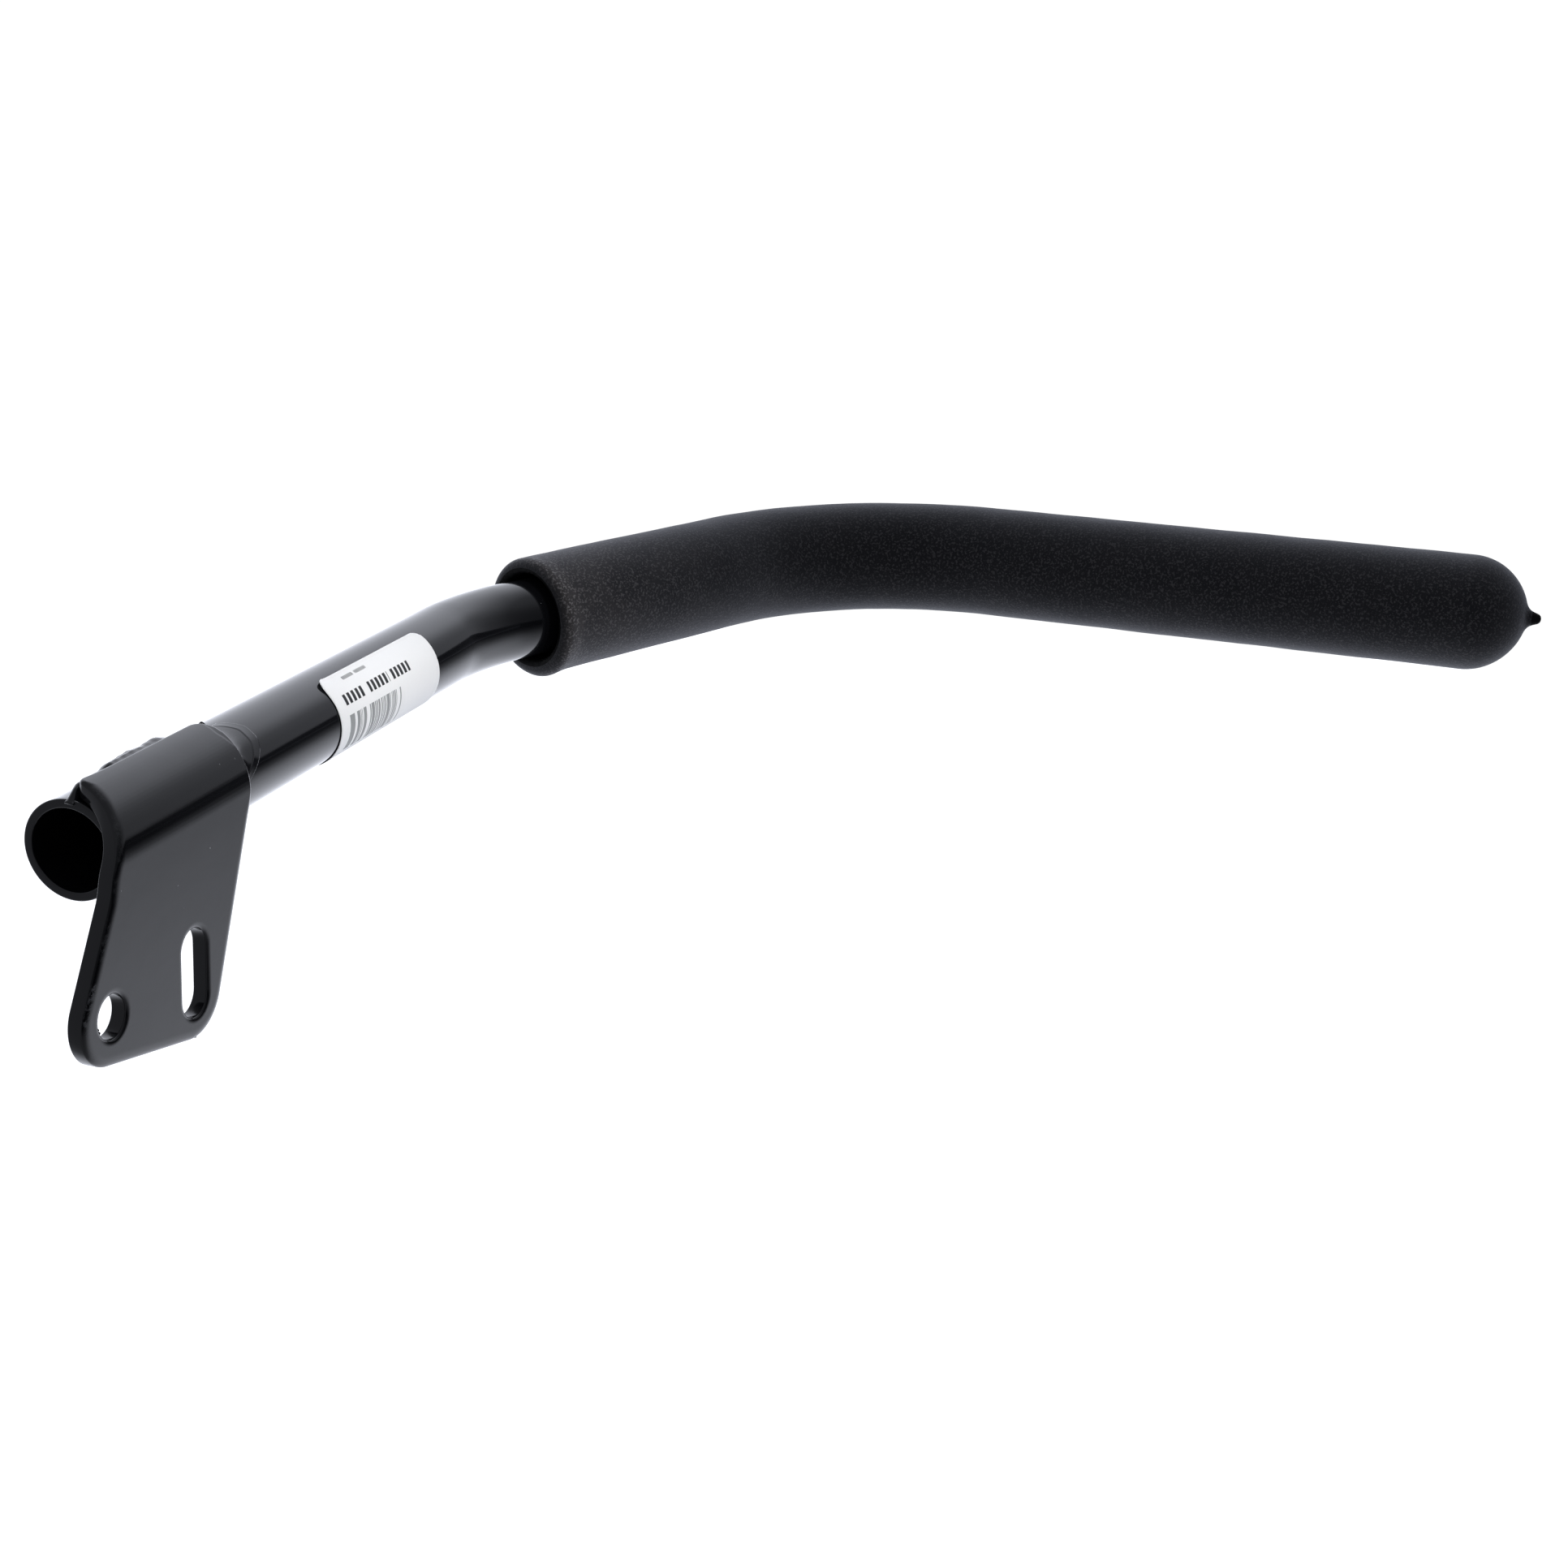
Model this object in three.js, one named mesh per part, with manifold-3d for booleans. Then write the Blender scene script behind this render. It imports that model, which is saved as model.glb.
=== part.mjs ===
// Control handle: a bent steel tube with a welded sheet-steel bracket, a moulded foam grip and a sticker.
// Millimetres. The pieces are laid out about a point on the axis of the tube, just inside its open end: +X runs
// along the first straight, -Y is the outward normal of the bracket outer face, and +Z is the normal of the plane
// that both bends lie in. The finished group is then moved so that the bracket's mounting point is at zero.
import * as THREE from 'three';
import { mergeVertices } from 'three/addons/utils/BufferGeometryUtils.js';
import Module from 'manifold-3d';

const wasm = await Module();
wasm.setup();

const { degToRad } = THREE.MathUtils;
const GAP = 0.3; // clearance between pieces that touch

// Tube: 1 inch outside diameter, 14 gauge wall, bent in one plane
const TUBE_R = 12.7;
const TUBE_WALL = 2.1;
const TUBE_EDGE = 0.4; // rounding of the cut ends
const TUBE_START = -0.7; // the open end, along the centreline
const BEND_R = 88.9;
const FIRST_STRAIGHT = 192.4;
const FIRST_BEND = degToRad(24.7);
const SECOND_STRAIGHT = 99.7;
const SECOND_BEND = degToRad(69.6);
const LAST_STRAIGHT = 190; // up to the tip of the grip's dome
const ARC_STEP = degToRad(4);
const ROUND_SIDES = 36;

// Foam grip, placed by length along the tube's centreline
const GRIP_R = 19.7;
const GRIP_START = 238;
const GRIP_LIP = 3; // rounding of the mouth's outer edge
const GRIP_FLARE = 0.5; // how far the lip stands proud
const LIP_STEPS = 4;
const MOUTH_R = 14.7; // bore of the wider mouth
const MOUTH_LIP = 1.9; // rounding of the mouth's inner edge
const MOUTH_DEPTH = 16;
const DOME_LENGTH = 20;
const DOME_POINT = 1.05; // 1 is an ellipse, more is more pointed
const DOME_STEP = degToRad(10);
const DOME_STEPS = 7; // the nipple takes over beyond these
const DOME_WALL = 24; // foam beyond the end of the bore
const TUBE_SHORT_OF_BORE = 2;
const NIPPLE_LENGTH = 4.4; // beyond the dome's end
const NIPPLE_R = 1.5;
const NIPPLE_FLARE = 4; // radius of its root
const NIPPLE_ROOT = 0.4; // how far short of the dome's end it starts
const NIPPLE_STEPS = 5;

// Bracket: 7 gauge sheet, flat below the tube's axis and curled over the tube above it
const SHEET = 4.55;
const HOOK_INNER = TUBE_R + GAP;
const HOOK_OUTER = HOOK_INNER + SHEET;
const HOOK_END = degToRad(98); // where the curl stops, measured from +Y towards +Z
const HOOK_STEPS = 18;
const STOCK_FROM = -40; // length of sheet that the outline is cut from
const STOCK_LENGTH = 120;

// Bracket side view: its edges, in X and Z
const FRONT_EDGE = { x: -6.1, z: 0, lean: 0.613 };
const FRONT_BEND = { x: -7.7, z: 0 }; // where the front edge turns as the sheet starts to curl
const FRONT_BEND_FROM = -7; // height where it leaves its straight line
const FRONT_TOP = { x: 1.8, z: 17.4 };
const REAR_EDGE = { x: 33.7, z: -43.5, lean: 0.45 };
const RIM_EDGE = { x: 51.9, z: -3.1, lean: 0.11 };
const BOTTOM_EDGE = { x: 13.1, z: -53.8, slope: -0.249 };
const OUTLINE_TOP = 22;
const FRONT_CORNER_R = 11.3; // concentric with the bolt hole
const REAR_CORNER_R = 12.7;
const KNEE_R = 22;

// Bracket holes: clearance for a 3/8 inch bolt
const HOLE_R = 5.55;
const HOLE = { x: -14, z: -34.7 };
const SLOT = { x: 20.8, z: -37.9 };
const SLOT_HALF_STRAIGHT = 6.1;
const HOLE_POINTS = 10;

// Welds
const SEAM_TOE = degToRad(83);
const SEAM_START = 8;
const SEAM_END = 51;
const SEAM_CROWN = 1.1; // how far the bead bulges past a straight face
const FILLET_REACH = 12;
const FILLET_FROM = degToRad(96);
const FILLET_TO = degToRad(180);
const FILLET_STEPS = 12;
const FILLET_WAIST = 0.35; // height halfway out, against the height at the rim
const FILLET_TAPER = 0.35; // size of the bead's ends against its middle

// Sticker
const LABEL_X = 107.9;
const LABEL_LENGTH = 60.5;
const LABEL_TOP = degToRad(113);
const LABEL_ARC = 34;
const LABEL_THICK = 0.25;
const LABEL_CORNER = 3.5;
const LABEL_ROWS = 20;

// Centreline of the tube as a function of the length along it
function centreline(length) {
  const afterFirst = Math.min(Math.max((length - FIRST_STRAIGHT) / BEND_R, 0), FIRST_BEND);
  const secondStart = FIRST_STRAIGHT + BEND_R * FIRST_BEND + SECOND_STRAIGHT;
  const afterSecond = Math.min(Math.max((length - secondStart) / BEND_R, 0), SECOND_BEND);
  const point = new THREE.Vector3();
  const turn = (angle) => new THREE.Vector3(Math.cos(angle), -Math.sin(angle), 0);
  const inward = (angle) => new THREE.Vector3(-Math.sin(angle), -Math.cos(angle), 0);
  const arc = (from, to) => inward(from).sub(inward(to)).multiplyScalar(BEND_R);
  point.addScaledVector(turn(0), Math.min(length, FIRST_STRAIGHT));
  point.add(arc(0, afterFirst));
  const second = Math.max(length - FIRST_STRAIGHT - BEND_R * FIRST_BEND, 0);
  point.addScaledVector(turn(FIRST_BEND), Math.min(second, SECOND_STRAIGHT));
  point.add(arc(FIRST_BEND, FIRST_BEND + afterSecond));
  const last = Math.max(length - secondStart - BEND_R * SECOND_BEND, 0);
  point.addScaledVector(turn(FIRST_BEND + SECOND_BEND), last);
  const heading = afterFirst + afterSecond;
  return { point, heading };
}

const TIP = FIRST_STRAIGHT + SECOND_STRAIGHT + LAST_STRAIGHT + BEND_R * (FIRST_BEND + SECOND_BEND);
const BORE_END = TIP - DOME_WALL;
const TUBE_END = BORE_END - TUBE_SHORT_OF_BORE;

// Lengths between from and to where a swept piece needs a ring of points
function stations(from, to) {
  const firstEnd = FIRST_STRAIGHT + BEND_R * FIRST_BEND;
  const secondStart = firstEnd + SECOND_STRAIGHT;
  const marks = [];
  const addArc = (start, angle) => {
    const steps = Math.ceil(angle / ARC_STEP);
    for (let i = 0; i <= steps; i += 1) {
      marks.push(start + (BEND_R * angle * i) / steps);
    }
  };
  addArc(FIRST_STRAIGHT, FIRST_BEND);
  addArc(secondStart, SECOND_BEND);
  return marks.filter((mark) => mark > from + 1 && mark < to - 1);
}

// Turns a lathe profile of (radius, length along the tube) into a body that follows the bent centreline
function bentLathe(profile) {
  const geometry = new THREE.LatheGeometry(profile, ROUND_SIDES);
  const position = geometry.getAttribute('position');
  for (let i = 0; i < position.count; i += 1) {
    const { point, heading } = centreline(position.getY(i));
    const across = -position.getX(i);
    const up = position.getZ(i);
    const x = point.x + across * Math.sin(heading);
    const y = point.y + across * Math.cos(heading);
    position.setXYZ(i, x, y, up);
  }
  return geometry;
}

// A closed solid for joining and cutting
function solid(geometry) {
  const bare = geometry.clone();
  bare.deleteAttribute('normal');
  bare.deleteAttribute('uv');
  const merged = mergeVertices(bare, 1e-4);
  const mesh = new wasm.Mesh({
    numProp: 3,
    vertProperties: new Float32Array(merged.getAttribute('position').array),
    triVerts: new Uint32Array(merged.getIndex().array),
  });
  return new wasm.Manifold(mesh);
}

function geometryOf(manifold) {
  const { vertProperties, triVerts } = manifold.getMesh();
  const geometry = new THREE.BufferGeometry();
  geometry.setAttribute('position', new THREE.BufferAttribute(vertProperties, 3));
  geometry.setIndex(new THREE.BufferAttribute(triVerts, 1));
  geometry.computeVertexNormals();
  return geometry;
}

// Extrudes a shape drawn in (Y, Z) along +X, from x to x + depth
function alongX(shape, x, depth, curveSegments = 12) {
  const geometry = new THREE.ExtrudeGeometry(shape, { depth, bevelEnabled: false, curveSegments });
  const axes = new THREE.Matrix4().makeBasis(
    new THREE.Vector3(0, 1, 0),
    new THREE.Vector3(0, 0, 1),
    new THREE.Vector3(1, 0, 0),
  );
  return geometry.applyMatrix4(axes).translate(x, 0, 0);
}

// Extrudes a shape drawn in (X, Z) along -Y, from y to y - depth
function alongMinusY(shape, y, depth, curveSegments) {
  const geometry = new THREE.ExtrudeGeometry(shape, { depth, bevelEnabled: false, curveSegments });
  const axes = new THREE.Matrix4().makeBasis(
    new THREE.Vector3(1, 0, 0),
    new THREE.Vector3(0, 0, 1),
    new THREE.Vector3(0, -1, 0),
  );
  return geometry.applyMatrix4(axes).translate(0, y, 0);
}

// A polygon of { x, z, r } corners, each rounded by an arc that touches both of its sides.
// The last corner is a sharp one, where the outline starts and ends.
function roundedOutline(corners) {
  const last = corners[corners.length - 1];
  const shape = new THREE.Shape();
  shape.moveTo(last.x, last.z);
  corners.forEach((corner, i) => {
    const at = new THREE.Vector2(corner.x, corner.z);
    if (corner.r === 0) {
      shape.lineTo(at.x, at.y);
      return;
    }
    const before = corners[(i + corners.length - 1) % corners.length];
    const after = corners[(i + 1) % corners.length];
    const back = new THREE.Vector2(before.x, before.z).sub(at).normalize();
    const ahead = new THREE.Vector2(after.x, after.z).sub(at).normalize();
    const half = Math.acos(back.dot(ahead)) / 2;
    const trim = corner.r / Math.tan(half);
    const start = at.clone().addScaledVector(back, trim);
    const end = at.clone().addScaledVector(ahead, trim);
    const middle = back.clone().add(ahead).normalize();
    const centre = at.clone().addScaledVector(middle, corner.r / Math.sin(half));
    const startAngle = start.clone().sub(centre).angle();
    const endAngle = end.clone().sub(centre).angle();
    shape.absarc(centre.x, centre.y, corner.r, startAngle, endAngle, false);
  });
  return shape;
}

function leaningEdge(edge, z) {
  return edge.x + edge.lean * (z - edge.z);
}

// Where a leaning edge (x from z) meets the bottom edge (z from x)
function meetBottom(edge) {
  const zAtEdge = BOTTOM_EDGE.z + BOTTOM_EDGE.slope * (edge.x - edge.lean * edge.z - BOTTOM_EDGE.x);
  const z = zAtEdge / (1 - BOTTOM_EDGE.slope * edge.lean);
  return { x: leaningEdge(edge, z), z };
}

function bracketOutline() {
  const kneeZ = RIM_EDGE.z;
  const frontLean = (FRONT_TOP.x - FRONT_BEND.x) / (FRONT_TOP.z - FRONT_BEND.z);
  const corners = [
    { x: FRONT_BEND.x + frontLean * (OUTLINE_TOP - FRONT_BEND.z), z: OUTLINE_TOP, r: 0 },
    { ...FRONT_BEND, r: 0 },
    { x: leaningEdge(FRONT_EDGE, FRONT_BEND_FROM), z: FRONT_BEND_FROM, r: 0 },
    { ...meetBottom(FRONT_EDGE), r: FRONT_CORNER_R },
    { ...meetBottom(REAR_EDGE), r: REAR_CORNER_R },
    { x: leaningEdge(REAR_EDGE, kneeZ), z: kneeZ, r: KNEE_R },
    { x: leaningEdge(RIM_EDGE, OUTLINE_TOP), z: OUTLINE_TOP, r: 0 },
  ];
  const shape = roundedOutline(corners);
  shape.holes.push(boltHole(), adjustmentSlot());
  return shape;
}

function boltHole() {
  return new THREE.Path().absarc(HOLE.x, HOLE.z, HOLE_R, 0, 2 * Math.PI, true);
}

// The slot stands square to the line from the bolt hole, so the handle can swing about the bolt
function adjustmentSlot() {
  const towards = Math.atan2(SLOT.z - HOLE.z, SLOT.x - HOLE.x);
  const rise = new THREE.Vector2(-Math.sin(towards), Math.cos(towards)).multiplyScalar(SLOT_HALF_STRAIGHT);
  const path = new THREE.Path();
  path.absarc(SLOT.x + rise.x, SLOT.z + rise.y, HOLE_R, towards + Math.PI, towards, true);
  path.absarc(SLOT.x - rise.x, SLOT.z - rise.y, HOLE_R, towards, towards - Math.PI, true);
  path.closePath();
  return path;
}

// End view of the sheet: a straight leg and a curl, in Y and Z
function sheetSection() {
  const foot = BOTTOM_EDGE.z * 2;
  const shape = new THREE.Shape();
  shape.moveTo(-HOOK_OUTER, foot);
  shape.lineTo(-HOOK_OUTER, 0);
  shape.absarc(0, 0, HOOK_OUTER, Math.PI, HOOK_END, true);
  shape.absarc(0, 0, HOOK_INNER, HOOK_END, Math.PI, false);
  shape.lineTo(-HOOK_INNER, foot);
  shape.closePath();
  return shape;
}

function mountingBracket() {
  const sheet = solid(alongX(sheetSection(), STOCK_FROM, STOCK_LENGTH, HOOK_STEPS));
  const outline = solid(alongMinusY(bracketOutline(), TUBE_R, TUBE_R * 3, HOLE_POINTS));
  return geometryOf(sheet.intersect(outline));
}

function handleTube() {
  const inner = TUBE_R - TUBE_WALL;
  const rings = stations(TUBE_START, TUBE_END);
  const outer = rings.map((length) => new THREE.Vector2(TUBE_R, length));
  const bore = rings.map((length) => new THREE.Vector2(inner, length)).reverse();
  const profile = [
    new THREE.Vector2(TUBE_R - TUBE_EDGE, TUBE_START),
    new THREE.Vector2(TUBE_R, TUBE_START + TUBE_EDGE),
    ...outer,
    new THREE.Vector2(TUBE_R, TUBE_END - TUBE_EDGE),
    new THREE.Vector2(TUBE_R - TUBE_EDGE, TUBE_END),
    new THREE.Vector2(inner, TUBE_END),
    ...bore,
    new THREE.Vector2(inner, TUBE_START),
    new THREE.Vector2(TUBE_R - TUBE_EDGE, TUBE_START),
  ];
  return bentLathe(profile);
}

// A quarter round of the mouth's lip: turn 0 faces the mouth, and 90 degrees faces away from the axis
function lipRound(crown, lip, from, to) {
  const points = [];
  for (let i = 0; i <= LIP_STEPS; i += 1) {
    const angle = THREE.MathUtils.lerp(from, to, i / LIP_STEPS);
    const length = GRIP_START + lip * (1 - Math.cos(angle));
    points.push(new THREE.Vector2(crown + lip * Math.sin(angle), length));
  }
  return points;
}

// Domed end with the moulding nipple at its tip
function gripDome() {
  const points = [];
  for (let i = 0; i <= DOME_STEPS; i += 1) {
    const angle = DOME_STEP * i;
    const radius = GRIP_R * Math.cos(angle) ** DOME_POINT;
    points.push(new THREE.Vector2(radius, TIP - DOME_LENGTH * (1 - Math.sin(angle))));
  }
  const straight = NIPPLE_ROOT + NIPPLE_LENGTH - NIPPLE_R;
  for (let i = 0; i <= NIPPLE_STEPS; i += 1) {
    const along = i / NIPPLE_STEPS;
    const radius = NIPPLE_R + (NIPPLE_FLARE - NIPPLE_R) * (1 - along) ** 2;
    points.push(new THREE.Vector2(radius, TIP - NIPPLE_ROOT + straight * along));
  }
  const shoulder = NIPPLE_R * Math.SQRT1_2;
  points.push(new THREE.Vector2(shoulder, TIP + NIPPLE_LENGTH - NIPPLE_R + shoulder));
  points.push(new THREE.Vector2(0, TIP + NIPPLE_LENGTH));
  return points;
}

function foamGrip() {
  const bore = TUBE_R + GAP;
  const mouthEnd = GRIP_START + MOUTH_DEPTH;
  const skin = stations(GRIP_START + GRIP_LIP * 3, TIP - DOME_LENGTH);
  const inside = stations(mouthEnd, BORE_END);
  const profile = [
    new THREE.Vector2(0, BORE_END),
    new THREE.Vector2(bore, BORE_END),
    ...inside.map((length) => new THREE.Vector2(bore, length)).reverse(),
    new THREE.Vector2(bore, mouthEnd),
    new THREE.Vector2(MOUTH_R, mouthEnd - MOUTH_DEPTH / 2),
    ...lipRound(MOUTH_R + MOUTH_LIP, MOUTH_LIP, -Math.PI / 2, 0),
    ...lipRound(GRIP_R + GRIP_FLARE - GRIP_LIP, GRIP_LIP, 0, Math.PI / 2),
    new THREE.Vector2(GRIP_R, GRIP_START + GRIP_LIP * 3),
    ...skin.map((length) => new THREE.Vector2(GRIP_R, length)),
    ...gripDome(),
  ];
  return bentLathe(profile);
}

// Bead in the corner between the hook's end face and the crest of the tube
function crestSeam() {
  const from = HOOK_END - GAP / HOOK_INNER;
  const rim = HOOK_OUTER - GAP;
  const mid = (from + SEAM_TOE) / 2;
  const crown = (rim + HOOK_INNER) / 2 + SEAM_CROWN * 2;
  const shape = new THREE.Shape();
  const polar = (radius, angle) => [radius * Math.cos(angle), radius * Math.sin(angle)];
  shape.moveTo(...polar(HOOK_INNER, SEAM_TOE));
  shape.quadraticCurveTo(...polar(crown, mid), ...polar(rim, from));
  shape.lineTo(...polar(HOOK_INNER, from));
  shape.absarc(0, 0, HOOK_INNER, from, SEAM_TOE, true);
  shape.closePath();
  return alongX(shape, SEAM_START, SEAM_END - SEAM_START, 5);
}

// A closed body through a row of sections, each with the same number of corners in the same order
function loft(sections) {
  const sides = sections[0].length;
  const last = (sections.length - 1) * sides;
  const corner = (row, side) => row * sides + (side % sides);
  const index = [];
  for (let row = 0; row < sections.length - 1; row += 1) {
    for (let side = 0; side < sides; side += 1) {
      index.push(corner(row, side), corner(row + 1, side + 1), corner(row + 1, side));
      index.push(corner(row, side), corner(row, side + 1), corner(row + 1, side + 1));
    }
  }
  for (let side = 1; side < sides - 1; side += 1) {
    index.push(0, side + 1, side);
    index.push(last, last + side, last + side + 1);
  }
  const geometry = new THREE.BufferGeometry().setFromPoints(sections.flat());
  geometry.setIndex(index);
  geometry.computeVertexNormals();
  return geometry;
}

// A point given by its place along the tube, its distance from the tube's axis and its angle round it
function roundTube(x, radius, angle) {
  return new THREE.Vector3(x, radius * Math.cos(angle), radius * Math.sin(angle));
}

// Fillet from the hook's rear rim down to the tube, tapering out at both ends
function rimFillet() {
  const sections = [];
  for (let i = 0; i <= FILLET_STEPS; i += 1) {
    const along = i / FILLET_STEPS;
    const angle = THREE.MathUtils.lerp(FILLET_FROM, FILLET_TO, along);
    const size = FILLET_TAPER + (1 - FILLET_TAPER) * Math.sin(Math.PI * along);
    const rimX = leaningEdge(RIM_EDGE, HOOK_OUTER * Math.sin(angle)) + GAP;
    const reach = FILLET_REACH * size;
    const rise = (SHEET - GAP) * size;
    sections.push([
      roundTube(rimX, HOOK_INNER, angle),
      roundTube(rimX + reach, HOOK_INNER, angle),
      roundTube(rimX + reach / 2, HOOK_INNER + rise * FILLET_WAIST, angle),
      roundTube(rimX, HOOK_INNER + rise, angle),
    ]);
  }
  return loft(sections);
}

// Sticker: a rounded rectangle of paper wrapped round the tube
function sticker() {
  const inner = TUBE_R + GAP / 2;
  const outer = inner + LABEL_THICK;
  const sections = [];
  for (let row = 0; row <= LABEL_ROWS; row += 1) {
    const down = (1 - Math.cos((Math.PI * row) / LABEL_ROWS)) / 2;
    const angle = LABEL_TOP + (LABEL_ARC * down) / inner;
    const intoCorner = Math.max(LABEL_CORNER - Math.min(down, 1 - down) * LABEL_ARC, 0);
    const inset = LABEL_CORNER - Math.sqrt(LABEL_CORNER ** 2 - intoCorner ** 2);
    const right = LABEL_X + LABEL_LENGTH - inset;
    sections.push([
      roundTube(LABEL_X + inset, inner, angle),
      roundTube(right, inner, angle),
      roundTube(right, outer, angle),
      roundTube(LABEL_X + inset, outer, angle),
    ]);
  }
  return loft(sections);
}

function piece(name, geometry, color, roughness, metalness) {
  const mesh = new THREE.Mesh(geometry, new THREE.MeshStandardMaterial({ color, roughness, metalness }));
  mesh.name = name;
  return mesh;
}

const PAINT = 0x1b1c1f;
const FOAM = 0x2b2b2d;
const PAPER = 0xe9eae8;

const group = new THREE.Group();
group.add(
  piece('handle_tube', handleTube(), PAINT, 0.25, 0.1),
  piece('mounting_bracket', mountingBracket(), PAINT, 0.3, 0.1),
  piece('crest_weld_seam', crestSeam(), PAINT, 0.35, 0.1),
  piece('rim_weld_fillet', rimFillet(), PAINT, 0.35, 0.1),
  piece('foam_grip', foamGrip(), FOAM, 0.95, 0),
  piece('sticker', sticker(), PAPER, 0.7, 0),
);

// Zero is on the bracket's outer face, halfway between the bolt hole and the slot
group.position.set(-(HOLE.x + SLOT.x) / 2, HOOK_OUTER, -(HOLE.z + SLOT.z) / 2);

export default group;
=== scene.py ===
"""Looks for the bent tube control handle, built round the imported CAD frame.

Every piece is laid out about a point on the tube's axis, just inside its open end, in metres: +X along the
first straight, +Z the normal of the plane of both bends, -Y the bracket's outer side. place() then moves it
to where the CAD model has it.
"""
import math

import bmesh
import bpy
from mathutils import Matrix, Vector, noise
from mathutils.geometry import tessellate_polygon


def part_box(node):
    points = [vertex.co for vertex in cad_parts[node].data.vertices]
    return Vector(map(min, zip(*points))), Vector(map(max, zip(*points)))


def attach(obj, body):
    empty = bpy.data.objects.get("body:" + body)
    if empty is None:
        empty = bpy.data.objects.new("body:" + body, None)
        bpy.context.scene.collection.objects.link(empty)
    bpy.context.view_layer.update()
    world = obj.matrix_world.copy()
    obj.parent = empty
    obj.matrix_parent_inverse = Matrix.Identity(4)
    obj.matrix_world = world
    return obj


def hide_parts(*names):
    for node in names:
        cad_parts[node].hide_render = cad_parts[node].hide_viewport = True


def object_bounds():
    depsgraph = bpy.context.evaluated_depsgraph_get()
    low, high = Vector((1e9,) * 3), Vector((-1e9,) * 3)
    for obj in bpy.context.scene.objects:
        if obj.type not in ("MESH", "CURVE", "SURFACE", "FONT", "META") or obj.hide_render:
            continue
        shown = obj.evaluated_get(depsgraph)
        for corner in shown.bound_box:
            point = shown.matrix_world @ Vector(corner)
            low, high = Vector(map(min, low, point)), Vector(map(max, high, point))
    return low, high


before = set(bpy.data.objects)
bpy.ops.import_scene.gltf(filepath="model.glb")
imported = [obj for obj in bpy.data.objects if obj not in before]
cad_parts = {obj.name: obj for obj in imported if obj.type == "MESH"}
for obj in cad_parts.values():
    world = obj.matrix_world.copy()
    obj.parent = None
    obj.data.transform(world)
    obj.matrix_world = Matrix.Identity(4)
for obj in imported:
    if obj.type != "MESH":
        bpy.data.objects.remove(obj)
cad_box = [list(corner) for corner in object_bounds()]

MM = 0.001

# Tube
TUBE_R = 12.7 * MM
TUBE_WALL = 2.1 * MM
TUBE_EDGE = 0.65 * MM
TUBE_BORE_EDGE = 0.55 * MM
TUBE_START = -0.7 * MM
BEND_R = 88.9 * MM
FIRST_STRAIGHT = 192.4 * MM
FIRST_BEND = math.radians(24.7)
SECOND_STRAIGHT = 99.7 * MM
SECOND_BEND = math.radians(69.6)
LAST_STRAIGHT = 190.5 * MM
FIRST_END = FIRST_STRAIGHT + BEND_R * FIRST_BEND
SECOND_START = FIRST_END + SECOND_STRAIGHT
SECOND_END = SECOND_START + BEND_R * SECOND_BEND
TIP = SECOND_END + LAST_STRAIGHT
TUBE_END = TIP - 26 * MM
TUBE_SIDES = 96

# Foam grip
GRIP_R = 19.7 * MM
GRIP_START = 238 * MM
GRIP_BORE = TUBE_R + 0.3 * MM
MOUTH_R = 14.7 * MM
MOUTH_DEPTH = 16 * MM
GRIP_LIP = 3.0 * MM
MOUTH_LIP = 1.95 * MM
BORE_END = TIP - 24 * MM
DOME_LENGTH = 20 * MM
DOME_POINT = 1.05
DOME_STEPS = 22
SPRUE_FROM_R = 5.2 * MM
SMOOTH_SPRUE_FROM = 1.7 * MM
# The moulding sprue, as (length past the dome's tip, radius) in mm
SPRUE = ((-0.62, 4.75), (-0.3, 4.1), (0, 3.62), (0.35, 3.22), (0.85, 2.75), (1.5, 2.42), (2.1, 2.15),
         (2.8, 1.93), (3.4, 1.7), (3.85, 1.4), (4.15, 1.05), (4.33, 0.62), (4.4, 0))
# How much painted shade each ring of the lip has, from the recess outwards, and how pale grey the rings just
# past the lip are, part dust and part painted sheen
LIP_PAINTED_SHADE = (1, 1, 1, 1, 0.97, 0.94, 0.9, 0.86, 0.8, 0.72, 0.62, 0.5, 0.36, 0.22, 0.1)
LIP_DUST_AND_SHEEN = (0.6, 1, 1.4, 1.6, 1.6, 1.5, 1.3, 1)
LIP_DUST_AND_SHEEN_FROM = 13
SPRUE_SHADE = 0.9
# Faces with more painted shade than this take the mouth's painted-shade material
MOUTH_SHADE_MATERIAL_FROM = 0.85
GRIP_SIDES = 128

# Bracket sheet, hooked over the tube
SHEET = 4.55 * MM
HOOK_INNER = TUBE_R + 0.3 * MM
HOOK_OUTER = HOOK_INNER + SHEET
HOOK_MID = HOOK_INNER + SHEET / 2
HOOK_END = math.radians(98)
HOOK_TOP = HOOK_MID * (math.pi - HOOK_END)
FRONT_EDGE = (-6.1 * MM, 0, 0.613)
REAR_EDGE = (33.7 * MM, -43.5 * MM, 0.45)
RIM_EDGE = (51.9 * MM, -3.1 * MM, 0.11)
BOTTOM_EDGE = (13.1 * MM, -53.8 * MM, -0.249)
FRONT_CORNER_R = 11.3 * MM
REAR_CORNER_R = 12.7 * MM
KNEE_R = 22 * MM
HOOK_CORNER_R = 5.5 * MM
FRONT_SWELL = 1.6 * MM
HORN_RISE = 0.6 * MM
HORN_R = 2.6 * MM
HOLE_R = 5.55 * MM
HOLE = (-14 * MM, -34.7 * MM)
SLOT = (20.8 * MM, -37.9 * MM)
SLOT_HALF_STRAIGHT = 6.1 * MM
EDGE_ROLL = (2.6 * MM, 1.1 * MM)
RIM_ROLL = (1.0 * MM, 1.0 * MM)
HOLE_ROLL = (1.5 * MM, 0.7 * MM)
INNER_ROUND = 0.5 * MM
# Steps along the curl, how many of them the rounded horn replaces, and steps along the flat below it
HOOK_STEPS = 26
HORN_STEPS = 4
FLAT_STEPS = 10
END_POINTS = (40, 30, 20, 14, 12, 10, 8)  # x in mm

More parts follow.
